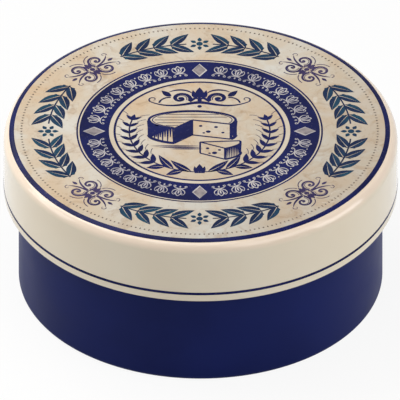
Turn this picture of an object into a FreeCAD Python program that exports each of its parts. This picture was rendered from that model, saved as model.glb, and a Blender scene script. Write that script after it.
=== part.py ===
import FreeCAD, Part
import os
import Sketcher

# Lidded round baker for one soft cheese, in glazed stoneware.
# Millimetres, +Z up, origin at the centre of the foot ring's flat underside.
# The dish is a straight-sided cup; the lid is a cap whose skirt hangs outside
# the dish and whose flat underside rests on the dish's rim.

# Driving dimensions: alias, size, what it measures
SIZES = [
    ("dish_radius", 64.6, "outside of the dish wall"),
    ("dish_height", 58.2, "foot to rim, which is also where the lid seats"),
    ("rim_wall", 4.4, "dish wall at the rim"),
    ("base_wall", 5.4, "dish wall at the floor, thicker by the well's draft"),
    ("rim_bevel", 1.2, "eased edges of the rim"),
    ("floor_thickness", 4.6, "well floor above the recess under the dish"),
    ("well_round", 6.0, "cove between well floor and wall"),
    ("foot_width", 4.8, "foot ring, measured inwards from the wall"),
    ("foot_height", 1.4, "depth of the recess inside the foot ring"),
    ("foot_flare", 0.6, "how much narrower the recess is at its roof"),
    ("foot_bevel", 1.2, "bevel on the outer edge of the foot"),
    ("recess_bevel", 0.5, "eased inner edge of the foot"),
    ("skirt_clearance", 1.2, "radial gap between dish and skirt"),
    ("skirt_wall", 4.2, "skirt of the lid"),
    ("skirt_depth", 20.4, "how far the skirt hangs below the rim"),
    ("skirt_bevel", 0.8, "eased outer edge of the skirt's mouth"),
    ("mouth_bevel", 1.3, "eased inner edge of the skirt's mouth, which guides the lid on"),
    ("crown", 4.5, "thickness of the lid's flat top"),
    ("crown_round", 4.4, "shoulder between the flat top and the skirt"),
    ("cap_bevel", 1.0, "filled corner inside the lid, clear of the rim"),
    ("wall_share", 0.45, "largest share of a wall that one eased edge takes"),
]

EDGE_TOLERANCE = 0.001

doc = FreeCAD.newDocument("cheese_baker")


def make_sheet():
    sheet = doc.addObject("Spreadsheet::Sheet", "sizes")
    for row, (alias, size, note) in enumerate(SIZES, start=1):
        sheet.set(f"A{row}", note)
        sheet.set(f"B{row}", str(size))
        sheet.setAlias(f"B{row}", alias)
    doc.recompute()
    return sheet


sheet = make_sheet()


def number(expression):
    """Value in millimetres of an expression on the sheet."""
    return float(sheet.evalExpression(expression))


def limited(size, wall):
    """Expression for a rounding or bevel that never takes more than its share of a wall."""
    return f"min(sizes.{size}; sizes.{wall} * sizes.wall_share)"


def origin_plane(body, role):
    return next(item for item in body.Origin.OriginFeatures if item.Role == role)


def profile(body, name, corners):
    """Closed outline in the XZ plane. Each corner is two expressions: out from the axis, and up.

    Neighbours with the same expression are joined by a vertical or horizontal line,
    and each distance is stated once.
    """
    sketch = body.newObject("Sketcher::SketchObject", name)
    sketch.AttachmentSupport = (origin_plane(body, "XZ_Plane"), [""])
    sketch.MapMode = "FlatFace"
    count = len(corners)
    points = [FreeCAD.Vector(number(out), number(up), 0) for out, up in corners]
    for index in range(count):
        line = Part.LineSegment(points[index], points[(index + 1) % count])
        sketch.addGeometry(line, False)
    for index in range(count):
        following = (index + 1) % count
        sketch.addConstraint(Sketcher.Constraint("Coincident", index, 2, following, 1))
        if corners[index][0] == corners[following][0]:
            sketch.addConstraint(Sketcher.Constraint("Vertical", index))
        if corners[index][1] == corners[following][1]:
            sketch.addConstraint(Sketcher.Constraint("Horizontal", index))
    for direction, kind, axis in ((0, "DistanceX", -2), (1, "DistanceY", -1)):
        stated = set()
        for index, corner in enumerate(corners):
            expression = corner[direction]
            if expression in stated:
                continue
            stated.add(expression)
            if expression == "0":
                sketch.addConstraint(Sketcher.Constraint("PointOnObject", index, 1, axis))
                continue
            distance = number(expression)
            place = sketch.addConstraint(Sketcher.Constraint(kind, -1, 1, index, 1, distance))
            sketch.setExpression(f"Constraints[{place}]", expression)
    sketch.Visibility = False
    return sketch


def turn(body, kind, name, sketch):
    """Full turn of a profile about the vertical axis: a Revolution adds, a Groove cuts."""
    before = body.Tip.Shape.Volume if body.Tip else 0.0
    feature = body.newObject(f"PartDesign::{kind}", name)
    feature.Profile = sketch
    feature.ReferenceAxis = (sketch, ["V_Axis"])
    feature.Angle = 360
    doc.recompute()
    added = feature.Shape.Volume - before
    if (added > 0) != (kind == "Revolution"):
        raise RuntimeError(f"{name} changes the volume by {added:.1f} mm3")
    return feature


def ease_edges(body, kind, name, size, circles):
    """Fillet or Chamfer on the circular edges at the given places: out from the axis, and up."""
    base = body.Tip
    wanted = [(number(out), number(up)) for out, up in circles]
    edges = []
    for index, edge in enumerate(base.Shape.Edges, start=1):
        if not isinstance(edge.Curve, Part.Circle):
            continue
        for out, up in wanted:
            off = max(abs(edge.Curve.Radius - out), abs(edge.Curve.Center.z - up))
            if off < EDGE_TOLERANCE:
                edges.append(f"Edge{index}")
    if len(edges) != len(circles):
        raise RuntimeError(f"{name} found {len(edges)} edges for {len(circles)} places")
    feature = body.newObject(f"PartDesign::{kind}", name)
    feature.Base = (base, edges)
    feature.setExpression("Radius" if kind == "Fillet" else "Size", size)
    doc.recompute()
    return feature


def make_body(name):
    body = doc.addObject("PartDesign::Body", name)
    body.Label = name
    return body


# Dish: straight wall, drafted well with a coved floor, foot ring round a shallow recess
def make_dish():
    body = make_body("dish")
    wall = "sizes.dish_radius"
    rim = "sizes.dish_height"
    blank = profile(body, "dish_outline", [("0", "0"), (wall, "0"), (wall, rim), ("0", rim)])
    turn(body, "Revolution", "dish_blank", blank)

    well_top = "sizes.dish_radius - sizes.rim_wall"
    well_foot = "sizes.dish_radius - sizes.base_wall"
    well_floor = "sizes.foot_height + sizes.floor_thickness"
    hollow = profile(
        body,
        "well_outline",
        [("0", well_floor), (well_foot, well_floor), (well_top, rim), ("0", rim)],
    )
    turn(body, "Groove", "well", hollow)

    foot_inside = "sizes.dish_radius - sizes.foot_width"
    roof_edge = "sizes.dish_radius - sizes.foot_width - sizes.foot_flare"
    roof = "sizes.foot_height"
    recess = profile(
        body,
        "recess_outline",
        [("0", "0"), (foot_inside, "0"), (roof_edge, roof), ("0", roof)],
    )
    turn(body, "Groove", "foot_recess", recess)

    ease_edges(body, "Fillet", "well_cove", "sizes.well_round", [(well_foot, well_floor)])
    ease_edges(body, "Chamfer", "foot_cut", limited("foot_bevel", "foot_width"), [(wall, "0")])
    rim_edges = [(wall, rim), (well_top, rim)]
    ease_edges(body, "Chamfer", "rim_easing", limited("rim_bevel", "rim_wall"), rim_edges)
    recess_edge = [(foot_inside, "0")]
    ease_edges(body, "Chamfer", "recess_easing", limited("recess_bevel", "foot_height"), recess_edge)
    return body


# Lid: flat crown with a broad shoulder, and a skirt that hangs outside the dish
def make_lid():
    body = make_body("lid")
    skirt = "sizes.dish_radius + sizes.skirt_clearance + sizes.skirt_wall"
    top = "sizes.skirt_depth + sizes.crown"
    blank = profile(body, "lid_outline", [("0", "0"), (skirt, "0"), (skirt, top), ("0", top)])
    turn(body, "Revolution", "lid_blank", blank)

    cap_bore = "sizes.dish_radius + sizes.skirt_clearance"
    seat = "sizes.skirt_depth"
    hollow = profile(
        body,
        "cap_outline",
        [("0", "0"), (cap_bore, "0"), (cap_bore, seat), ("0", seat)],
    )
    turn(body, "Groove", "cap_hollow", hollow)

    ease_edges(body, "Fillet", "shoulder", "sizes.crown_round", [(skirt, top)])
    corner = "min(sizes.cap_bevel; sizes.skirt_clearance)"
    ease_edges(body, "Chamfer", "cap_corner", corner, [(cap_bore, seat)])
    ease_edges(body, "Chamfer", "skirt_easing", limited("skirt_bevel", "skirt_wall"), [(skirt, "0")])
    ease_edges(body, "Chamfer", "mouth_easing", limited("mouth_bevel", "skirt_wall"), [(cap_bore, "0")])

    body.setExpression("Placement.Base.z", "sizes.dish_height - sizes.skirt_depth")
    return body


def check(bodies):
    for item in doc.Objects:
        if "Invalid" in item.State or "Error" in item.State:
            raise RuntimeError(f"{item.Name} failed: {item.State}")
        if item.TypeId == "Sketcher::SketchObject" and not item.FullyConstrained:
            raise RuntimeError(f"{item.Name} is not fully constrained")
    for body in bodies:
        if body.Shape.isNull() or not body.Shape.isValid():
            raise RuntimeError(f"{body.Label} has no valid solid")


bodies = [make_dish(), make_lid()]
doc.recompute()
check(bodies)

os.makedirs("parts", exist_ok=True)
for body in bodies:
    body.Shape.exportStep(f"parts/{body.Label}.step")
    box = body.Shape.BoundBox
    volume = body.Shape.Volume
    print(f"{body.Label}: z {box.ZMin:.2f} to {box.ZMax:.2f}, across {box.XLength:.2f}, {volume:.0f} mm3")
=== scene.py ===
import math

import bpy
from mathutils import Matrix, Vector


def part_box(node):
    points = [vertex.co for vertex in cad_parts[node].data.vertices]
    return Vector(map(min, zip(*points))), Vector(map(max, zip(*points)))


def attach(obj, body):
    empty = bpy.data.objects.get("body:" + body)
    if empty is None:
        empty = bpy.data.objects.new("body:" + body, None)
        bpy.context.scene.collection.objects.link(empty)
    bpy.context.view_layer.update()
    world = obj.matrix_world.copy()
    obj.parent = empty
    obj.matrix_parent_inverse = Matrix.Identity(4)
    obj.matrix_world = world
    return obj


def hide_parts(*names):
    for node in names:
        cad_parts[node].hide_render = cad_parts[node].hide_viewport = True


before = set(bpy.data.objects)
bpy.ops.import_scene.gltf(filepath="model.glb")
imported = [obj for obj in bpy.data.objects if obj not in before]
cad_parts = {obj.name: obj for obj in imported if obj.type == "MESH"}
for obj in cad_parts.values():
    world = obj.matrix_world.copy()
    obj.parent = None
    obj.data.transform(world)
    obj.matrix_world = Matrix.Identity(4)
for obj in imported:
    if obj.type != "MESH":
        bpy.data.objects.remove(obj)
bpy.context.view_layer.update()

# Lidded round cheese baker in glazed stoneware, with a generic printed lid.
# Metres; the print is laid out in millimetres from the centre of the lid's top.
MM = 0.001

# Sizes read from the frame
DISH_LOW, DISH_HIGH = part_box("dish")
LID_LOW, LID_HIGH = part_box("lid")
DISH_RADIUS = DISH_HIGH.x
RIM = DISH_HIGH.z
LID_RADIUS = LID_HIGH.x
TOP = LID_HIGH.z
SKIRT_END = LID_LOW.z

# Sections of the two pieces, as in the solids but with arcs in place of the bevels
RIM_WALL = 4.4 * MM
BASE_WALL = 5.4 * MM
RIM_ROUND = 1.7 * MM
WELL_FLOOR = 6.0 * MM
WELL_ROUND = 6.0 * MM
FOOT_WIDTH = 4.8 * MM
FOOT_HEIGHT = 1.4 * MM
FOOT_FLARE = 0.6 * MM
FOOT_ROUND = 1.7 * MM
RECESS_ROUND = 0.5 * MM
SKIRT_WALL = 4.2 * MM
SKIRT_ROUND = 1.05 * MM
MOUTH_ROUND = 1.5 * MM
CAP_ROUND = 1.0 * MM
SHOULDER_ROUND = 4.4 * MM

# Mesh density: steps of a full turn, of a rounding and of the print's curves
TURN_STEPS = 288
ROUNDING_STEPS = 9
LEAF_STEPS = 10
STEM_STEPS = 16
CURVE_STEPS = 14
ARC_STEP, ARC_STEPS_LEAST = 6, 6
SUPPORT = 0.12 * MM
SHARP_ANGLE = math.radians(40)

# Nearer than this counts as the axis, and as one point of a shape of print in millimetres
ON_AXIS = 1e-9
ONE_POINT = 1e-6

# The print, in millimetres. Each ink rises by INK over the one below, and neighbouring shapes of
# one ink take turns at HAIRS heights within half of that. The label sits a little to the left.
INK = 0.03
HAIRS = 13
LABEL_SHIFT = -0.36
BORDER_IN, BORDER_OUT = 65.93, 67.68
FIELD_FLAT, FIELD_OUT = 65.1, 66.0
STRIPE_BELOW_TOP = 21.24
STRIPE_WIDTH = 1.1
SEAL_IN, SEAL_OUT = 32.2, 42.7
SEAL_LINE, SEAL_LINE_WIDTH = 43.5, 0.6
INNER_LINE, INNER_LINE_WIDTH = 30.2, 0.78

# Laurel garland and the beading outside it, with angles in degrees. A swag keeps GARLAND_START free
# from the middle of a corner scroll and GARLAND_END from the middle of a knot, and FIRST_PAIR is
# the share of a pair's space before the first pair of leaves.
QUARTERS = (0, 90, 180, 270)
GARLAND_RADIUS = 53.8
GARLAND_START, GARLAND_END = 13.5, 5.0
GARLAND_PAIRS, FIRST_PAIR = 4, 0.1
LEAF_LENGTH, LEAF_WIDTH, LEAF_LEAN, LEAF_BEND = 9.4, 3.5, 42, 0.8
LEAF_GAP = 0.34
STEM_WIDTH = 0.55
STALK_FROM, STALK_TO, STALK_WIDTH = 0.3, 1.5, 0.28
BERRY_LEAN, BERRY_REACH, BERRY_RADIUS = 72, 2.0, 0.62
KNOT_RADIUS, KNOT_PETALS = 1.15, 6
KNOT_PETAL, KNOT_PETAL_REACH = (2.3, 1.5), 1.45
BEADING_RADIUS, BEADS = 63.3, 240
BEAD_RADIUS, BEAD_LOZENGE = 0.34, (0.28, 0.62)

# Band print: palmettes in a quarter, angle that a lozenge keeps free on each side, and the half
# width and half height of the lozenges
PALMETTES = 8
LOZENGE_SPAN = 6.5
LOZENGE_FRAME = (2.7, 3.95)
LOZENGE_FIELD = (2.3, 3.4)
LOZENGE_OFFSET = (-0.12, 0.12)
BAND_BEAD_RISE, BAND_BEAD_RADIUS = 2.3, 0.3

# The cheese in the picture: x, y, half width, half height of its top and depth, then the angles
# between which its front is cut, and the widths of its lines
CHEESE = (-2.6, 7.0, 15.4, 5.6, 9.2)
CHEESE_CUT = (246, 332)
TOP_LINE, FOOT_LINE, SIDE_LINE, CUT_LINE = 0.95, 1.4, 0.9, 0.7
# Its side strokes: width, and lengths as shares of the depth
STROKE_WIDTH = 1.15
LONG_STROKE, SHORT_STROKE = 0.97, 0.45
# The inner outline of its top and the lines across it, as shares of the half width and height
RIND_RUN, RIND_LINE = 0.92, 0.32
MAT_LINES = (-0.7, -0.35, 0.0, 0.35, 0.7)
MAT_RISE, MAT_RUN, MAT_GAP, MAT_LINE = 0.88, 0.86, 0.8, 0.3
# Holes on a cut face: share of the way along, share of the way down, radius
CHEESE_HOLES = (
    (0.22, 0.34, 0.55),
    (0.42, 0.66, 0.75),
    (0.62, 0.30, 0.60),
    (0.80, 0.62, 0.50),
    (0.30, 0.78, 0.42),
)
# The slice in front of it: three upper corners, depth, line widths and holes
SLICE = ((0.2, -6.6), (9.0, -10.4), (14.4, -5.8))
SLICE_DEPTH = 6.8
SLICE_TOP_LINE, SLICE_FOOT_LINE, SLICE_EDGE_LINE, SLICE_STROKE = 0.6, 0.95, 0.65, 0.62
SLICE_HOLES = ((0.30, 0.40, 0.55), (0.58, 0.66, 0.80), (0.78, 0.28, 0.50), (0.38, 0.80, 0.40))
# Width of a hole as a share of its height
HOLE_SQUASH = 1.15
# Shadow strokes under the cheese, each from one x to another
SHADOW_TOP, SHADOW_PITCH, SHADOW_WIDTH, SHADOW_STEPS = -9.0, 0.9, 0.7, 8
SHADOW_ROWS = ((-17.5, 0.4), (-14.5, 1.0), (-10.5, 1.4))

# Wheat: circle that it follows, angles of the stalk's ends and of the ear's first grains, blades
# as (angle from the stalk's start, side, length), and the scrolls above and below
WHEAT_RADIUS = 25.0
WHEAT_START, WHEAT_END, WHEAT_EAR = 272, 376, 310
WHEAT_BLADES = ((5, 1, 10.0), (12, -1, 6.4), (20, 1, 10.0), (28, -1, 6.4))
BLADE_WIDTH, BLADE_LEAN, BLADE_BEND = 2.9, 26, 0.2
GRAINS = 8
GRAIN_LENGTH, GRAIN_WIDTH, GRAIN_LEAN, GRAIN_BEND, GRAIN_TAPER = 5.6, 2.1, 38, 0.6, 0.3
LAST_GRAIN = (3.8, 1.7)
AWN_WIDTH = 0.22
FLOURISH_HEIGHT, FLOURISH_SCALE = 18.6, 1.16
FLEURON_HEIGHT, FLEURON_SCALE = -26.6, 1.2

# The camera looks from the front, a little over 35 degrees up, with parallel rays
CAMERA_ELEVATION = math.radians(35.264)
CAMERA_DISTANCE, CAMERA_NEAR = 0.9, 0.01
PIXELS = 400
PIXELS_PER_RADIUS = 197.1
TOP_CENTRE_PIXEL = (200.6, 131.4)

# Studio: half the floor's side, its colour and the share of it that always shows white, the faint
# light from everywhere, the surroundings as they are seen and mirrored, and the softboxes
FLOOR_REACH = 6.0
FLOOR_COLOUR = (0.93, 0.93, 0.93)
FLOOR_ROUGHNESS = 0.9
FLOOR_WHITE_SHARE = 0.9
SOFT_WHITE = (1.0, 0.985, 0.96)
FILL_STRENGTH = 0.05
SEEN_AROUND = (0.8, 0.8, 0.8)
# Name, azimuth and elevation in degrees, distance, size in metres, power in watts
LAMPS = (
    ("left_high_softbox", 270, 74, 0.45, (0.46, 0.42), 1.0),
    ("left_low_softbox", 270, 18, 0.9, (0.5, 0.4), 1.15),
    ("back_left_softbox", 235, 50, 0.9, (0.9, 0.7), 4.6),
    ("right_low_softbox", 80, 14, 0.9, (0.5, 0.4), 1.8),
    ("front_right_softbox", 48, 36, 0.9, (0.8, 0.4), 1.85),
    ("front_high_softbox", 0, 62, 0.9, (0.7, 0.3), 0.7),
)


def eased(corners):
    """Profile points through (radius, height, rounding) corners. Each rounding is an arc tangent to
    the two sides it joins, with a close support point before and after it."""
    points = []
    for index, (out, up, rounding) in enumerate(corners):
        here = Vector((out, up))
        if rounding == 0:
            points.append(here)
            continue
        back = (Vector(corners[index - 1][:2]) - here).normalized()
        on = (Vector(corners[index + 1][:2]) - here).normalized()
        half = back.angle(on) / 2
        reach = rounding / math.tan(half)
        centre = here + (back + on).normalized() * (rounding / math.sin(half))
        first = here + back * reach
        last = here + on * reach
        start = first - centre
        turn = start.angle_signed(last - centre)
        points.append(first + back * SUPPORT)
        for step in range(ROUNDING_STEPS + 1):
            angle = -turn * step / ROUNDING_STEPS
            c, s = math.cos(angle), math.sin(angle)
            points.append(centre + Vector((start.x * c - start.y * s, start.x * s + start.y * c)))
        points.append(last + on * SUPPORT)
    return [(p.x, p.y) for p in points]


def add_object(name, verts, faces, material, smooth):
    mesh = bpy.data.meshes.new(name)
    mesh.from_pydata(verts, [], faces)
    mesh.validate()
    mesh.update()
    for polygon in mesh.polygons:
        polygon.use_smooth = smooth
    mesh.materials.append(material)
    piece = bpy.data.objects.new(name, mesh)
    bpy.context.scene.collection.objects.link(piece)
    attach(piece, "root")
    return piece


def add_face(faces, corners):
    """Adds the face through the corners. A corner named twice counts once, and a face needs three."""
    face = tuple(dict.fromkeys(corners))
    if len(face) > 2:
        faces.append(face)


def lathe(name, profile, material, shift=0.0, closed=False):
    """Turns a profile of (radius, height) points about the vertical axis. A point on the axis
    becomes a pole; a closed profile joins its last point to its first."""
    verts = []
    rings = []
    for out, up in profile:
        if out < ON_AXIS:
            rings.append([len(verts)] * TURN_STEPS)
            verts.append((shift, 0.0, up))
            continue
        rings.append(range(len(verts), len(verts) + TURN_STEPS))
        for step in range(TURN_STEPS):
            angle = 2 * math.pi * step / TURN_STEPS
            verts.append((shift + out * math.cos(angle), out * math.sin(angle), up))
    faces = []
    pairs = list(zip(rings, rings[1:]))
    if closed:
        pairs.append((rings[-1], rings[0]))
    for lower, upper in pairs:
        for step in range(TURN_STEPS):
            following = (step + 1) % TURN_STEPS
            add_face(faces, (lower[step], lower[following], upper[following], upper[step]))
    return add_object(name, verts, faces, material, True)


# Materials

def new_material(name):
    material = bpy.data.materials.new(name)
    material.use_nodes = True
    tree = material.node_tree
    shader = tree.nodes["Principled BSDF"]
    return material, tree, shader


def place_node(tree):
    return tree.nodes.new("ShaderNodeTexCoord").outputs["Object"]


def noise(tree, place, scale, detail=2.0, roughness=0.5, distortion=0.0):
    node = tree.nodes.new("ShaderNodeTexNoise")
    node.inputs["Scale"].default_value = scale
    node.inputs["Detail"].default_value = detail
    node.inputs["Roughness"].default_value = roughness
    node.inputs["Distortion"].default_value = distortion
    tree.links.new(place, node.inputs["Vector"])
    return node.outputs["Fac"]


def ramp(tree, value, stops):
    """Colour ramp over (position, colour) stops."""
    node = tree.nodes.new("ShaderNodeValToRGB")
    elements = node.color_ramp.elements
    while len(elements) < len(stops):
        elements.new(0.5)
    for element, (position, colour) in zip(elements, stops):
        element.position = position
        element.color = (*colour, 1.0)
    tree.links.new(value, node.inputs["Fac"])
    return node.outputs["Color"]


def mix(tree, factor, first, second):
    node = tree.nodes.new("ShaderNodeMix")
    node.data_type = "RGBA"
    if isinstance(factor, float):
        node.inputs["Factor"].default_value = factor
    else:
        tree.links.new(factor, node.inputs["Factor"])
    for value, socket in ((first, node.inputs[6]), (second, node.inputs[7])):
        if isinstance(value, tuple):
            socket.default_value = (*value, 1.0)
        else:
            tree.links.new(value, socket)
    return node.outputs[2]


def grey(tree, value, low, high, bottom=0.0, top=1.0):
    node = tree.nodes.new("ShaderNodeMapRange")
    node.inputs["From Min"].default_value = low
    node.inputs["From Max"].default_value = high
    node.inputs["To Min"].default_value = bottom
    node.inputs["To Max"].default_value = top
    tree.links.new(value, node.inputs["Value"])
    return node.outputs["Result"]


def bump(tree, place, pattern, depth, strength):
    node = tree.nodes.new("ShaderNodeBump")
    node.inputs["Distance"].default_value = depth
    node.inputs["Strength"].default_value = strength
    tree.links.new(noise(tree, place, *pattern), node.inputs["Height"])
    return node


def glaze_surface(tree, shader, place, roughness, specular):
    """Clear fired glaze: long soft waves and fine orange peel, and a gloss that varies a little."""
    waves = bump(tree, place, *GLAZE_WAVES)
    peel = bump(tree, place, *GLAZE_PEEL)
    tree.links.new(waves.outputs["Normal"], peel.inputs["Normal"])
    tree.links.new(peel.outputs["Normal"], shader.inputs["Normal"])
    gloss = grey(tree, noise(tree, place, *GLOSS_PATTERN), 0.3, 0.7, *roughness)
    tree.links.new(gloss, shader.inputs["Roughness"])
    shader.inputs["IOR"].default_value = GLAZE_IOR
    shader.inputs["Specular IOR Level"].default_value = specular


def height_of(tree, place):
    node = tree.nodes.new("ShaderNodeSeparateXYZ")
    tree.links.new(place, node.inputs["Vector"])
    return node.outputs["Z"]


def along(tree, place, direction):
    """Distance of a place along a direction through the middle of the object."""
    node = tree.nodes.new("ShaderNodeVectorMath")
    node.operation = "DOT_PRODUCT"
    node.inputs[1].default_value = direction
    tree.links.new(place, node.inputs[0])
    return node.outputs["Value"]


# Noise patterns are scale, detail, roughness and distortion, and the last two may be left out.
# Relief of every glaze: pattern, depth in metres and strength
GLAZE_WAVES = ((38.0, 1.0), 0.12 * MM, 0.5)
GLAZE_PEEL = ((620.0, 2.0), 0.004 * MM, 0.3)
GLOSS_PATTERN = (55.0, 3.0)
CREAM_CLOUD = (22.0, 3.0)
BLUE_CLOUD = (26.0, 4.0)
PAPER_BROAD = (24.0, 2.0, 0.5, 0.6)
PAPER_CLOUD = (62.0, 6.0, 0.62, 0.9)
INK_RUB = (700.0, 4.0, 0.7)
# Glazes: a range of roughness and the specular level of each, and the lid's clear top coat
GLAZE_IOR = 1.5
CREAM_GLOSS, CREAM_SPECULAR = (0.08, 0.14), 0.5
COAT_WEIGHT, COAT_ROUGHNESS = 0.45, 0.08
BLUE_GLOSS, BLUE_SPECULAR = (0.42, 0.50), 0.07
PRINT_GLOSS, PRINT_SPECULAR = (0.14, 0.22), 0.07
# Heights between which bare clay turns to glaze at the foot
GLAZE_START, GLAZE_FULL = 0.25 * MM, 0.45 * MM
# Shares of the shoulder's rounding below the top between which the cream glaze runs thin and takes a
# painted highlight
THIN_HIGHLIGHT_START, THIN_HIGHLIGHT_FULL = 0.95, 0.5

CREAM = (0.82, 0.745, 0.60)
CREAM_WARM = (0.80, 0.70, 0.54)
# Thin glaze on the shoulder, lighter than the cream as a painted highlight
CREAM_THIN_HIGHLIGHT = (0.95, 0.79, 0.64)
BISQUE = (0.62, 0.52, 0.40)
COBALT = (0.0080, 0.0158, 0.112)
COBALT_DEEP = (0.0060, 0.0122, 0.089)
PAPER = (0.625, 0.53, 0.41)
PAPER_PALE = (0.67, 0.64, 0.58)
PAPER_ROSE = (0.625, 0.465, 0.312)
PAPER_STAIN = (0.38, 0.25, 0.15)
PAPER_BLEACHED = (0.74, 0.71, 0.64)
# Colour of the painted shade that darkens one side of the paper
PAPER_SHADE = (0.29, 0.34, 0.36)
NAVY = (0.0080, 0.0125, 0.096)
NAVY_DARK = (0.0060, 0.0085, 0.062)
TEAL = (0.014, 0.062, 0.112)
UMBER = (0.10, 0.075, 0.06)
UMBER_PALE = (0.20, 0.16, 0.14)
PETROL = (0.011, 0.028, 0.080)
PETROL_DARK = (0.008, 0.018, 0.060)
PLUM = (0.060, 0.045, 0.120)
PLUM_DARK = (0.034, 0.026, 0.088)
BAND_PALE = (0.60, 0.57, 0.56)
BAND_GREY = (0.42, 0.40, 0.44)
SILVER = (0.20, 0.18, 0.20)
SILVER_PALE = (0.36, 0.32, 0.32)
MARGIN = (0.60, 0.52, 0.41)
MARGIN_PALE = (0.66, 0.59, 0.49)


def cream_glaze():
    material, tree, shader = new_material("cream_glaze")
    place = place_node(tree)
    cloud = noise(tree, place, *CREAM_CLOUD)
    colour = ramp(tree, cloud, [(0.35, CREAM_WARM), (0.65, CREAM)])
    # The glaze runs thin over the shoulder and lets the warm clay show, and this lighter colour is also a
    # painted highlight
    height = height_of(tree, place)
    low, high = TOP - SHOULDER_ROUND * THIN_HIGHLIGHT_START, TOP - SHOULDER_ROUND * THIN_HIGHLIGHT_FULL
    colour = mix(tree, grey(tree, height, low, high), colour, CREAM_THIN_HIGHLIGHT)
    tree.links.new(colour, shader.inputs["Base Color"])
    glaze_surface(tree, shader, place, CREAM_GLOSS, CREAM_SPECULAR)
    shader.inputs["Coat Weight"].default_value = COAT_WEIGHT
    shader.inputs["Coat Roughness"].default_value = COAT_ROUGHNESS
    return material


def blue_glaze():
    material, tree, shader = new_material("blue_glaze")
    place = place_node(tree)
    cloud = noise(tree, place, *BLUE_CLOUD)
    colour = ramp(tree, cloud, [(0.35, COBALT_DEEP), (0.65, COBALT)])
    # The foot ring that it stands on is wiped clean of glaze
    unglazed = grey(tree, height_of(tree, place), GLAZE_FULL, GLAZE_START)
    colour = mix(tree, unglazed, colour, BISQUE)
    tree.links.new(colour, shader.inputs["Base Color"])
    glaze_surface(tree, shader, place, BLUE_GLOSS, BLUE_SPECULAR)
    return material


# Painted shade on the paper: direction in which it darkens, distances at which that starts and is full, and
# its most
SHADE_WAY = (0.78, -0.63, 0.0)
SHADE_START, SHADE_FULL, SHADE_MOST = -0.02, 0.055, 0.27
# Marks on it, as stains, bleached spots and fine flecks: noise pattern, the values between which
# it comes to show, how strongly, and the colour
PAPER_MARKS = (
    ((115.0, 6.0, 0.68, 1.4), (0.53, 0.71), 0.6, PAPER_STAIN),
    ((150.0, 5.0, 0.6, 2.0), (0.36, 0.26), 0.55, PAPER_BLEACHED),
    ((820.0, 3.0, 0.6), (0.60, 0.72), 0.34, PAPER_STAIN),
)


def paper_print():
    """Aged label tint under the glaze: pale and rosy clouds, painted shade that darkens one side, and small
    marks.
    """
    material, tree, shader = new_material("paper_print")
    place = place_node(tree)
    broad = noise(tree, place, *PAPER_BROAD)
    colour = ramp(tree, broad, [(0.36, PAPER_ROSE), (0.5, PAPER), (0.64, PAPER_PALE)])
    cloud = noise(tree, place, *PAPER_CLOUD)
    clouded = ramp(tree, cloud, [(0.38, PAPER_ROSE), (0.5, PAPER), (0.62, PAPER_PALE)])
    colour = mix(tree, 0.5, colour, clouded)
    # Painted shade: the paper darkens towards one side
    painted_shade = grey(tree, along(tree, place, SHADE_WAY), SHADE_START, SHADE_FULL, 0.0, SHADE_MOST)
    colour = mix(tree, painted_shade, colour, PAPER_SHADE)
    for pattern, shown, strength, mark in PAPER_MARKS:
        marked = grey(tree, noise(tree, place, *pattern), *shown, 0.0, strength)
        colour = mix(tree, marked, colour, mark)
    tree.links.new(colour, shader.inputs["Base Color"])
    glaze_surface(tree, shader, place, PRINT_GLOSS, PRINT_SPECULAR)
    return material


def ink_print(name, first, second, scale, worn):
    """Fired ink that drifts between two shades and lets a little of the paper through."""
    material, tree, shader = new_material(name)
    place = place_node(tree)
    cloud = noise(tree, place, scale, 3.0)
    colour = ramp(tree, cloud, [(0.38, first), (0.62, second)])
    rub = grey(tree, noise(tree, place, *INK_RUB), 0.60, 0.72, 0.0, worn)
    colour = mix(tree, rub, colour, PAPER)
    tree.links.new(colour, shader.inputs["Base Color"])
    glaze_surface(tree, shader, place, PRINT_GLOSS, PRINT_SPECULAR)
    return material


# Inks: two shades, the scale on which they drift, and how far the ink is rubbed away
INKS = {
    "navy": (NAVY, NAVY_DARK, 60.0, 0.10),
    "teal": (TEAL, PETROL, 90.0, 0.16),
    "petrol": (PETROL, PETROL_DARK, 90.0, 0.12),
    "plum": (PLUM, PLUM_DARK, 70.0, 0.25),
    "pale": (BAND_PALE, BAND_GREY, 60.0, 0.10),
    "silver": (SILVER, SILVER_PALE, 260.0, 0.0),
    "margin": (MARGIN, MARGIN_PALE, 34.0, 0.15),
    "umber": (UMBER, UMBER_PALE, 120.0, 0.3),
}
MATERIALS = {"cream": cream_glaze(), "blue": blue_glaze(), "paper": paper_print()}
for ink, settings in INKS.items():
    MATERIALS[ink] = ink_print(f"{ink}_print", *settings)


# The two ceramic pieces

def make_dish():
    foot_inside = DISH_RADIUS - FOOT_WIDTH
    profile = eased([
        (0.0, FOOT_HEIGHT, 0),
        (foot_inside - FOOT_FLARE, FOOT_HEIGHT, RECESS_ROUND),
        (foot_inside, DISH_LOW.z, RECESS_ROUND),
        (DISH_RADIUS, DISH_LOW.z, FOOT_ROUND),
        (DISH_RADIUS, RIM, RIM_ROUND),
        (DISH_RADIUS - RIM_WALL, RIM, RIM_ROUND),
        (DISH_RADIUS - BASE_WALL, WELL_FLOOR, WELL_ROUND),
        (0.0, WELL_FLOOR, 0),
    ])
    piece = lathe("glazed_dish", profile, MATERIALS["blue"])
    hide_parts("dish")


def make_lid():
    bore = LID_RADIUS - SKIRT_WALL
    profile = eased([
        (0.0, RIM, 0),
        (bore, RIM, CAP_ROUND),
        (bore, SKIRT_END, MOUTH_ROUND),
        (LID_RADIUS, SKIRT_END, SKIRT_ROUND),
        (LID_RADIUS, TOP, SHOULDER_ROUND),
        (0.0, TOP, 0),
    ])
    piece = lathe("glazed_lid", profile, MATERIALS["cream"])
    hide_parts("lid")


# Bands of print that follow the lid's surface

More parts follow.
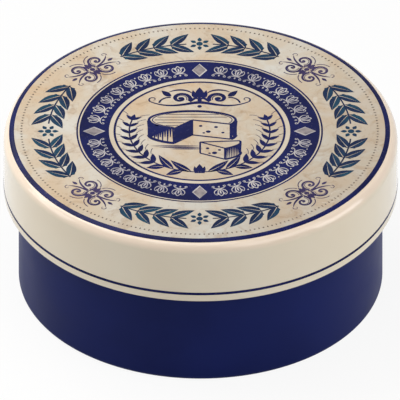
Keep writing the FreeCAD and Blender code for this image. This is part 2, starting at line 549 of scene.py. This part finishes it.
def lid_height(out):
    """Height of the lid's outer surface at a distance from the axis."""
    flat = LID_RADIUS - SHOULDER_ROUND
    if out <= flat:
        return TOP
    return TOP - SHOULDER_ROUND + math.sqrt(SHOULDER_ROUND**2 - (out - flat) ** 2)


def spread(inner, outer, steps):
    return [inner + (outer - inner) * step / steps for step in range(steps + 1)]


def band(name, radii, material, level):
    """Ring of print through radii in millimetres, laid on the lid at its place in the stack of inks."""
    lower = [(out * MM, (level - 1) * INK * MM) for out in radii]
    upper = [(out * MM, level * INK * MM) for out in radii]
    profile = lower + upper[::-1]
    piece = lathe(name, profile, MATERIALS[material], LABEL_SHIFT * MM, closed=True)
    for vertex in piece.data.vertices:
        vertex.co.z += lid_height(vertex.co.xy.length)
    piece.data.set_sharp_from_angle(angle=SHARP_ANGLE)


def thin_line(name, radius, width, material, level):
    band(name, (radius - width / 2, radius + width / 2), material, level)


def make_stripe():
    half = STRIPE_WIDTH / 2 * MM
    middle = TOP - STRIPE_BELOW_TOP * MM
    low, high = middle - half, middle + half
    inner, outer = LID_RADIUS - INK * MM, LID_RADIUS + INK * MM
    profile = [(inner, low), (outer, low), (outer, high), (inner, high)]
    piece = lathe("skirt_stripe", profile, MATERIALS["navy"], closed=True)
    piece.data.set_sharp_from_angle(angle=SHARP_ANGLE)


# Flat shapes of print. A shape is two rails of points in millimetres, left and right of the way
# it runs, with the ink between them; rails that meet at an end make a point there. An ornament is
# a list of shapes, drawn about its own middle.

def line_of(points, width, swell=None):
    """Line along the points; swell gives the share of the width at a place from 0 to 1."""
    left, right = [], []
    last = len(points) - 1
    for index, (x, y) in enumerate(points):
        before = points[max(index - 1, 0)]
        after = points[min(index + 1, last)]
        way = Vector((after[0] - before[0], after[1] - before[1])).normalized()
        half = width / 2 * (swell(index / last) if swell else 1.0)
        left.append((x - way.y * half, y + way.x * half))
        right.append((x + way.y * half, y - way.x * half))
    return left, right


def full_middle(t):
    """Swells from nothing to full width halfway and back to nothing."""
    return math.sin(math.pi * t) ** 0.7


def fading(t):
    return 1.0 - 0.72 * t


def leaf(length, width, bend=0.0, gap=LEAF_GAP):
    """Pointed leaf up the Y axis, split along its midrib; returns its left and right halves."""
    halves = []
    for side in (-1, 1):
        inner, outer = [], []
        for step in range(LEAF_STEPS + 1):
            t = step / LEAF_STEPS
            rib = bend * t * t
            edge = side * gap / 2 * (1 - t)
            reach = side * width / 2 * math.sin(math.pi * t**0.82)
            inner.append((rib + edge, length * t))
            outer.append((rib + edge + reach, length * t))
        outer[0], outer[-1] = inner[0], inner[-1]
        halves.append((outer, inner) if side < 0 else (inner, outer))
    return halves


def petal(length, width, bend=0.0):
    return leaf(length, width, bend, gap=0.0)


def disc(x, y, radius, squash=1.0, steps=12):
    left, right = [], []
    for step in range(steps + 1):
        angle = math.pi * (step / steps - 0.5)
        reach = radius * math.cos(angle) * squash if 0 < step < steps else 0.0
        rise = y + radius * math.sin(angle)
        left.append((x - reach, rise))
        right.append((x + reach, rise))
    return left, right


def lozenge(x, y, half_width, half_height):
    left = [(x, y - half_height), (x - half_width, y), (x, y + half_height)]
    right = [(x, y - half_height), (x + half_width, y), (x, y + half_height)]
    return left, right


def arc_points(x, y, radius, start, end, rise=None, steps=None):
    """Points along part of a circle, or of an ellipse when its rise differs, by degrees."""
    rise = radius if rise is None else rise
    steps = steps or max(ARC_STEPS_LEAST, round(abs(end - start) / ARC_STEP))
    angles = [math.radians(start + (end - start) * step / steps) for step in range(steps + 1)]
    return [(x + radius * math.cos(a), y + rise * math.sin(a)) for a in angles]


def curl_points(x, y, first, last, start, turns, steps=34):
    """Points along a spiral round (x, y) whose radius goes from first to last."""
    points = []
    for step in range(steps + 1):
        t = step / steps
        angle = math.radians(start + 360 * turns * t)
        radius = last + (first - last) * (1 - t) ** 1.25
        points.append((x + radius * math.cos(angle), y + radius * math.sin(angle)))
    return points


def curve_points(a, b, c, d):
    """Points along a cubic curve from a to d with handles b and c."""
    points = []
    for step in range(CURVE_STEPS + 1):
        t = step / CURVE_STEPS
        u = 1 - t
        weights = (u**3, 3 * u * u * t, 3 * u * t * t, t**3)
        x = sum(w * p[0] for w, p in zip(weights, (a, b, c, d)))
        y = sum(w * p[1] for w, p in zip(weights, (a, b, c, d)))
        points.append((x, y))
    return points


def moved(shapes, x=0.0, y=0.0, turn=0.0, flip=False, scale=1.0):
    """Copies of shapes, mirrored left to right if flip, then turned by degrees and moved."""
    c, s = math.cos(math.radians(turn)), math.sin(math.radians(turn))
    sign = -scale if flip else scale

    def put(px, py):
        return x + sign * px * c - scale * py * s, y + sign * px * s + scale * py * c

    result = []
    for rails in shapes:
        left, right = [[put(px, py) for px, py in rail] for rail in rails]
        result.append((right, left) if flip else (left, right))
    return result


def around(shapes, out, angle):
    """Copies of shapes at a distance from the centre, their Y axis pointing outwards."""
    turn = math.radians(angle)
    return moved(shapes, out * math.cos(turn), out * math.sin(turn), angle - 90)


def both_sides(shapes):
    return shapes + moved(shapes, flip=True)


def print_shapes(name, shapes, material, level, ground=1):
    """One mesh of closed flat shapes that stand on the inks up to the ground level and rise to their
    own. Neighbours differ by a hair in height, so two tops that cross don't share a plane."""
    low = TOP + ground * INK * MM
    verts, faces = [], []
    for index, (left, right) in enumerate(shapes):
        high = TOP + (level - 0.5 * (index % HAIRS) / HAIRS) * INK * MM
        corners = []
        for (lx, ly), (rx, ry) in zip(left, right):
            joined = math.hypot(lx - rx, ly - ry) < ONE_POINT
            places = []
            for x, y in ((lx, ly),) if joined else ((lx, ly), (rx, ry)):
                for height in (low, high):
                    places.append(len(verts))
                    verts.append(((x + LABEL_SHIFT) * MM, y * MM, height))
            corners.append(places + places if joined else places)
        for (a, b, c, d), (e, f, g, h) in zip(corners, corners[1:]):
            for face in ((b, d, h, f), (a, e, g, c), (a, b, f, e), (c, g, h, d)):
                add_face(faces, face)
        a, b, c, d = corners[0]
        add_face(faces, (a, c, d, b))
        a, b, c, d = corners[-1]
        add_face(faces, (b, d, c, a))
    return add_object(name, verts, faces, MATERIALS[material], False)


# Laurel garland round the label, in four swags between the corner scrolls

def make_garland():
    inner_halves, outer_halves, berries, stems = [], [], [], []
    for middle in QUARTERS:
        for side in (-1, 1):
            start = middle + side * (45 - GARLAND_START)
            end = middle + side * GARLAND_END
            stem = arc_points(0.0, 0.0, GARLAND_RADIUS, start, end, steps=STEM_STEPS)
            stems.append(line_of(stem, STEM_WIDTH))
            for pair in range(GARLAND_PAIRS):
                angle = start + (end - start) * (pair + FIRST_PAIR) / GARLAND_PAIRS
                for lean in (-1, 1):
                    tilt = -side * 90 + lean * LEAF_LEAN
                    halves = moved(leaf(LEAF_LENGTH, LEAF_WIDTH, lean * LEAF_BEND), turn=tilt)
                    halves = around(halves, GARLAND_RADIUS, angle)
                    outer_halves.append(halves[0 if side > 0 else 1])
                    inner_halves.append(halves[1 if side > 0 else 0])
                    berry_tilt = -side * 90 + lean * BERRY_LEAN
                    stalk = [line_of([(0.0, STALK_FROM), (0.0, STALK_TO)], STALK_WIDTH)]
                    stems += around(moved(stalk, turn=berry_tilt), GARLAND_RADIUS, angle)
                    berry = [disc(0.0, BERRY_REACH, BERRY_RADIUS)]
                    berries += around(moved(berry, turn=berry_tilt), GARLAND_RADIUS, angle)
        knot = [disc(0.0, 0.0, KNOT_RADIUS)]
        for index in range(KNOT_PETALS):
            outwards = moved(petal(*KNOT_PETAL), y=KNOT_PETAL_REACH)
            knot += moved(outwards, turn=360 * index / KNOT_PETALS)
        berries += around(knot, GARLAND_RADIUS, middle)
    print_shapes("garland_stems", stems, "petrol", 3)
    print_shapes("garland_leaves_dark", inner_halves, "petrol", 2)
    print_shapes("garland_leaves_light", outer_halves, "teal", 2)
    print_shapes("garland_berries", berries, "teal", 4)


# Scroll ornaments between the swags. Their coordinates, and those of the palmette and flourish, are
# millimetres from the ornament's own middle.

def scroll_quarter():
    """One curl of the ornament, right of its middle and above it."""
    shapes = [line_of(curl_points(4.5, 2.9, 3.3, 0.35, 222, -1.35), 0.95, fading)]
    shapes.append(line_of(curl_points(4.6, 2.9, 2.5, 0.7, 222, -0.95), 0.26))
    shapes.append(disc(4.45, 2.9, 0.55))
    shapes.append(line_of(curve_points((1.0, 0.5), (3.2, -0.1), (7.2, 0.4), (9.6, 3.0)), 0.75, full_middle))
    shapes.append(line_of(curl_points(9.0, 3.6, 1.15, 0.3, 315, 0.8, 18), 0.34, fading))
    shapes.append(line_of(curve_points((0.5, 4.4), (1.0, 5.8), (2.6, 7.0), (4.6, 6.9)), 0.34))
    return shapes


def fleuron(scale=1.0):
    """Three pointed petals over a bar, above the middle of an ornament."""
    shapes = moved(petal(4.4, 2.0), y=1.0)
    for side in (-1, 1):
        shapes += moved(petal(3.3, 1.3, side * -0.9), x=side * 0.55, y=1.0, turn=-side * 32)
    shapes.append(line_of([(-1.5, 1.0), (1.5, 1.0)], 0.5))
    return moved(shapes, scale=scale)


def make_scrolls():
    half = both_sides(scroll_quarter())
    shapes = half + moved(half, turn=180)
    bud = moved(fleuron(0.72), y=0.5)
    shapes += bud + moved(bud, turn=180)
    shapes.append(disc(0.0, 0.0, 0.95))
    for side in (-1, 1):
        shapes += moved(petal(2.6, 1.2), x=side * 7.6, turn=-side * 90)
    ornaments = []
    for quarter in QUARTERS:
        ornaments += around(shapes, GARLAND_RADIUS, quarter + 45)
    print_shapes("corner_scrolls", ornaments, "plum", 2)


# Fine beading just inside the border

def make_beading():
    shapes = []
    for index in range(BEADS):
        bead = lozenge(0.0, 0.0, *BEAD_LOZENGE) if index % 2 else disc(0.0, 0.0, BEAD_RADIUS, steps=6)
        shapes += around([bead], BEADING_RADIUS, 360 * index / BEADS)
    print_shapes("beading", shapes, "umber", 2)


# Pale palmettes and lozenges on the dark band

def palmette():
    """Open palmette about 6 mm high, drawn in thin lines."""
    shapes = []
    bud = curve_points((0.0, -1.0), (1.5, 0.5), (1.0, 2.2), (0.0, 3.1))
    shapes.append(line_of(bud, 0.36))
    fan = curve_points((0.35, -1.2), (2.3, -0.6), (2.7, 1.0), (1.9, 2.2))
    shapes.append(line_of(fan, 0.50, fading))
    shapes.append(line_of(curl_points(1.45, 1.75, 0.62, 0.2, 25, 0.8, 14), 0.30))
    foot = curve_points((0.0, -1.4), (1.0, -1.5), (2.2, -1.9), (2.5, -2.9))
    shapes.append(line_of(foot, 0.46, fading))
    shapes.append(line_of(curl_points(1.95, -2.75, 0.55, 0.2, 340, -0.8, 14), 0.28))
    shapes = both_sides(shapes)
    shapes += moved(petal(2.5, 0.62), y=-0.5)
    shapes.append(lozenge(0.0, -2.55, 0.36, 0.62))
    return shapes


def make_band_print():
    middle = (SEAL_IN + SEAL_OUT) / 2
    span = 90 - 2 * LOZENGE_SPAN
    shapes, frames, lozenges = [], [], []
    for quarter in QUARTERS:
        for index in range(PALMETTES):
            angle = quarter + LOZENGE_SPAN + span * (index + 0.5) / PALMETTES
            shapes += around(palmette(), middle, angle)
            if index:
                bead = [disc(0.0, BAND_BEAD_RISE, BAND_BEAD_RADIUS, steps=6)]
                shapes += around(bead, middle, angle - span / 2 / PALMETTES)
        frames += around([lozenge(0.0, 0.0, *LOZENGE_FRAME)], middle, quarter)
        lozenges += around([lozenge(*LOZENGE_OFFSET, *LOZENGE_FIELD)], middle, quarter)
    print_shapes("band_palmettes", shapes, "pale", 4, ground=3)
    print_shapes("lozenge_frames", frames, "pale", 4, ground=3)
    print_shapes("band_lozenges", lozenges, "silver", 5, ground=4)


# The picture in the middle: a whole cheese with one slice cut, between ears of wheat

def side_strokes(start, end, step):
    """Engraver's strokes down the cheese's side between two angles, heavier towards its ends."""
    x, y, across, rise, depth = CHEESE
    shapes = []
    count = round((end - start) / step)
    for index in range(count + 1):
        angle = math.radians(start + (end - start) * index / count)
        top = (x + across * math.cos(angle), y + rise * math.sin(angle))
        shade = abs(math.cos(angle)) ** 1.5
        share = SHORT_STROKE * (1 + shade) if index % 2 else LONG_STROKE
        foot = (top[0], top[1] - depth * share)
        shapes.append(line_of([top, foot], STROKE_WIDTH * (0.62 + 0.7 * shade), fading))
    return shapes


def whole_cheese():
    """Round cheese with a sector cut out of its front; both cut faces show."""
    x, y, across, rise, depth = CHEESE
    cut_start, cut_end = CHEESE_CUT
    shapes = [line_of(arc_points(x, y, across, cut_end, cut_start + 360, rise), TOP_LINE)]
    rind = arc_points(x, y, across * RIND_RUN, cut_end + 4, cut_start + 356, rise * MAT_RISE)
    shapes.append(line_of(rind, RIND_LINE))
    for start, end in ((180, cut_start), (cut_end, 360)):
        shapes.append(line_of(arc_points(x, y - depth, across, start, end, rise), FOOT_LINE))
    for end in (x - across, x + across):
        shapes.append(line_of([(end, y), (end, y - depth)], SIDE_LINE))
    shapes += side_strokes(184, cut_start - 2, 4.2)
    shapes += side_strokes(cut_end + 3, 355, 4.6)
    middle, below = (x, y), (x, y - depth)
    rims = []
    for angle in CHEESE_CUT:
        turn = math.radians(angle)
        rim = (x + across * math.cos(turn), y + rise * math.sin(turn))
        foot = (rim[0], rim[1] - depth)
        rims.append(rim)
        for edge in ((middle, rim), (rim, foot), (below, foot)):
            shapes.append(line_of(edge, CUT_LINE))
    # The cut face on the left is dark, and the one on the right shows the holes
    dark_foot = (rims[0][0], rims[0][1] - depth)
    shapes.append(([rims[0], middle], [dark_foot, below]))
    shapes.append(line_of([middle, below], CUT_LINE))
    shapes += holes(middle, rims[1], depth, CHEESE_HOLES)
    # Lines across the top end at its outline or, in the front half, just before the cut
    turn = math.radians(cut_start)
    for share in MAT_LINES:
        up = rise * MAT_RISE * share
        reach = across * MAT_RUN * math.sqrt(1 - share * share)
        cut_edge = up * across * math.cos(turn) / (rise * math.sin(turn))
        right = reach if share > 0 else cut_edge - MAT_GAP
        shapes.append(line_of([(x - reach, y + up), (x + right, y + up)], MAT_LINE))
    return shapes


def holes(start, end, depth, places):
    """Small holes on an upright face between two top corners."""
    shapes = []
    for share, down, radius in places:
        x = start[0] + (end[0] - start[0]) * share
        y = start[1] + (end[1] - start[1]) * share - depth * down
        shapes.append(disc(x, y, radius, HOLE_SQUASH, 8))
    return shapes


def cheese_slice():
    """Slice that lies in front, seen on its cut face and its rind."""
    tip, near, far = SLICE
    rind = curve_points(near, (near[0] + 2.2, near[1] + 0.6), (far[0] + 1.4, far[1] - 1.8), far)
    low_rind = [(px, py - SLICE_DEPTH) for px, py in rind]
    low_tip, low_near = [(px, py - SLICE_DEPTH) for px, py in (tip, near)]
    shapes = [line_of(rind, SLICE_TOP_LINE), line_of(low_rind, SLICE_FOOT_LINE)]
    for edge in ((tip, near), (tip, far), (tip, low_tip), (near, low_near), (low_tip, low_near)):
        shapes.append(line_of(edge, SLICE_EDGE_LINE))
    shapes.append(line_of([rind[-1], low_rind[-1]], SLICE_EDGE_LINE))
    for top, foot in zip(rind[1:-1], low_rind[1:-1]):
        shapes.append(line_of([top, foot], SLICE_STROKE, fading))
    return shapes + holes(tip, near, SLICE_DEPTH, SLICE_HOLES)


def ground_shadow():
    """Horizontal strokes under the cheese, shorter as they go down."""
    shapes = []
    for row, (start, end) in enumerate(SHADOW_ROWS):
        height = SHADOW_TOP - row * SHADOW_PITCH
        points = [(x, height) for x in spread(start, end, SHADOW_STEPS)]
        shapes.append(line_of(points, SHADOW_WIDTH, full_middle))
    return shapes


def wheat_ear():
    """Stalk and ear that follow the inside of the seal on the right."""
    shapes = [line_of(arc_points(0.0, 0.0, WHEAT_RADIUS, WHEAT_START, WHEAT_END), STEM_WIDTH)]
    for index in range(GRAINS):
        t = index / (GRAINS - 1)
        angle = WHEAT_EAR + (WHEAT_END - WHEAT_EAR) * t
        size = 1.0 - GRAIN_TAPER * t
        length = GRAIN_LENGTH * size
        for lean in (-1, 1):
            grain = petal(length, GRAIN_WIDTH * size, -lean * GRAIN_BEND)
            awn = curve_points(
                (0.0, length * 0.92),
                (0.0, length + 1.2),
                (-lean * 0.5, length + 2.2),
                (-lean * 1.2, length + 3.0),
            )
            grain.append(line_of(awn, AWN_WIDTH))
            shapes += around(moved(grain, turn=90 + lean * GRAIN_LEAN), WHEAT_RADIUS, angle)
    shapes += around(moved(petal(*LAST_GRAIN), turn=90), WHEAT_RADIUS, WHEAT_END)
    for angle, lean, length in WHEAT_BLADES:
        blade = leaf(length, BLADE_WIDTH, -lean * length * BLADE_BEND)
        shapes += around(moved(blade, turn=90 + lean * BLADE_LEAN), WHEAT_RADIUS, WHEAT_START + angle)
    return shapes


def flourish():
    """Scroll with a fleuron, for the top of the picture."""
    side = [line_of(curl_points(5.8, 1.4, 3.1, 0.4, 205, -1.4), 1.35, fading)]
    side.append(line_of(curl_points(5.8, 1.4, 2.0, 0.9, 205, -0.9), 0.3))
    side.append(disc(5.8, 1.4, 0.75))
    side.append(line_of(curve_points((0.0, -0.7), (3.6, -0.8), (8.6, -4.6), (15.0, -0.4)), 1.5, fading))
    side.append(line_of(curl_points(14.2, 0.9, 1.5, 0.35, 305, 0.9, 18), 0.55, fading))
    side.append(line_of(curve_points((8.8, 2.0), (10.6, 2.0), (11.9, 1.0), (12.4, -0.9)), 0.6))
    side.append(line_of(curve_points((2.2, 3.9), (3.4, 6.2), (7.0, 6.6), (9.6, 4.6)), 0.8, full_middle))
    side.append(line_of([(1.6, 1.3), (3.1, -0.2)], 1.0))
    side += moved(petal(4.2, 2.1, -0.9), x=8.6, y=2.6, turn=-58)
    middle = fleuron(1.35) + [disc(0.0, -2.8, 0.7), line_of([(0.0, 1.3), (0.0, -0.9)], 1.3)]
    return moved(both_sides(side) + middle, scale=FLOURISH_SCALE)


def make_picture():
    cheese = whole_cheese() + cheese_slice() + ground_shadow()
    print_shapes("picture_cheese", cheese, "navy", 2)
    ears = both_sides(wheat_ear())
    ears += moved(flourish(), y=FLOURISH_HEIGHT) + moved(fleuron(FLEURON_SCALE), y=FLEURON_HEIGHT)
    print_shapes("picture_wheat", ears, "navy", 2)


make_dish()
make_lid()
make_stripe()
# The number after an ink, here and above, is its place in the stack of inks, with the paper as 1
band("label_field", [0.0] + spread(FIELD_FLAT, FIELD_OUT, 6), "paper", 1)
band("border_ring", spread(BORDER_IN, BORDER_OUT, 8), "navy", 2)
band("seal_margin", (INNER_LINE - INNER_LINE_WIDTH / 2, SEAL_LINE + SEAL_LINE_WIDTH / 2), "margin", 2)
band("seal_band", (SEAL_IN, SEAL_OUT), "navy", 3)
thin_line("seal_line", SEAL_LINE, SEAL_LINE_WIDTH, "navy", 3)
thin_line("inner_line", INNER_LINE, INNER_LINE_WIDTH, "navy", 3)
make_garland()
make_scrolls()
make_beading()
make_band_print()
make_picture()


# Studio

def make_floor():
    mesh = bpy.data.meshes.new("floor")
    sides = ((-1, -1), (1, -1), (1, 1), (-1, 1))
    corners = [(x * FLOOR_REACH, y * FLOOR_REACH, 0) for x, y in sides]
    mesh.from_pydata(corners, [], [(0, 1, 2, 3)])
    floor = bpy.data.objects.new("floor", mesh)
    bpy.context.scene.collection.objects.link(floor)
    material, tree, shader = new_material("floor_paper")
    shader.inputs["Base Color"].default_value = (*FLOOR_COLOUR, 1)
    shader.inputs["Roughness"].default_value = FLOOR_ROUGHNESS
    shader.inputs["Specular IOR Level"].default_value = 0.0
    glow = tree.nodes.new("ShaderNodeEmission")
    blend = tree.nodes.new("ShaderNodeMixShader")
    seen = tree.nodes.new("ShaderNodeMath")
    seen.operation = "MULTIPLY"
    seen.inputs[1].default_value = FLOOR_WHITE_SHARE
    tree.links.new(seen_rays(tree), seen.inputs[0])
    tree.links.new(seen.outputs[0], blend.inputs["Fac"])
    tree.links.new(shader.outputs["BSDF"], blend.inputs[1])
    tree.links.new(glow.outputs["Emission"], blend.inputs[2])
    tree.links.new(blend.outputs["Shader"], tree.nodes["Material Output"].inputs["Surface"])
    mesh.materials.append(material)


def seen_rays(tree):
    """1 for what is seen directly, mirrored or through glass, and 0 for light that falls on things."""
    path = tree.nodes.new("ShaderNodeLightPath")
    total = path.outputs["Is Camera Ray"]
    for name in ("Is Glossy Ray", "Is Transmission Ray"):
        add = tree.nodes.new("ShaderNodeMath")
        add.operation = "ADD"
        add.use_clamp = True
        tree.links.new(total, add.inputs[0])
        tree.links.new(path.outputs[name], add.inputs[1])
        total = add.outputs[0]
    return total


def make_world():
    world = bpy.data.worlds.new("studio")
    bpy.context.scene.world = world
    world.use_nodes = True
    tree = world.node_tree
    fill = tree.nodes["Background"]
    fill.inputs["Color"].default_value = (*SOFT_WHITE, 1)
    fill.inputs["Strength"].default_value = FILL_STRENGTH
    shown = tree.nodes.new("ShaderNodeBackground")
    shown.inputs["Color"].default_value = (*SEEN_AROUND, 1)
    blend = tree.nodes.new("ShaderNodeMixShader")
    tree.links.new(seen_rays(tree), blend.inputs["Fac"])
    tree.links.new(fill.outputs["Background"], blend.inputs[1])
    tree.links.new(shown.outputs["Background"], blend.inputs[2])
    tree.links.new(blend.outputs["Shader"], tree.nodes["World Output"].inputs["Surface"])


def make_lamp(name, azimuth, elevation, distance, size, power):
    """Softbox aimed at the object. Azimuth 0 stands in front, 90 on the right."""
    turn, rise = math.radians(azimuth), math.radians(elevation)
    way = Vector((math.sin(turn) * math.cos(rise), -math.cos(turn) * math.cos(rise), math.sin(rise)))
    light = bpy.data.lights.new(name, "AREA")
    light.shape = "RECTANGLE"
    light.size, light.size_y = size
    light.energy = power
    light.color = SOFT_WHITE
    lamp = bpy.data.objects.new(name, light)
    lamp.location = Vector((0, 0, TOP / 2)) + way * distance
    lamp.rotation_euler = way.to_track_quat("Z", "Y").to_euler()
    bpy.context.scene.collection.objects.link(lamp)


def make_camera():
    data = bpy.data.cameras.new("camera")
    data.type = "ORTHO"
    radius_pixels = PIXELS_PER_RADIUS / LID_RADIUS
    data.ortho_scale = PIXELS / radius_pixels
    data.clip_start = CAMERA_NEAR
    camera = bpy.data.objects.new("camera", data)
    bpy.context.scene.collection.objects.link(camera)
    back = Vector((0, -math.cos(CAMERA_ELEVATION), math.sin(CAMERA_ELEVATION)))
    up = Vector((0, math.sin(CAMERA_ELEVATION), math.cos(CAMERA_ELEVATION)))
    right = Vector((1, 0, 0))
    across = (TOP_CENTRE_PIXEL[0] - PIXELS / 2) / radius_pixels
    above = (PIXELS / 2 - TOP_CENTRE_PIXEL[1]) / radius_pixels
    aim = Vector((0, 0, TOP)) - right * across - up * above
    camera.location = aim + back * CAMERA_DISTANCE
    camera.rotation_euler = back.to_track_quat("Z", "Y").to_euler()
    bpy.context.scene.camera = camera


make_floor()
make_world()
for lamp in LAMPS:
    make_lamp(*lamp)
make_camera()

bpy.context.scene.view_settings.view_transform = "Standard"
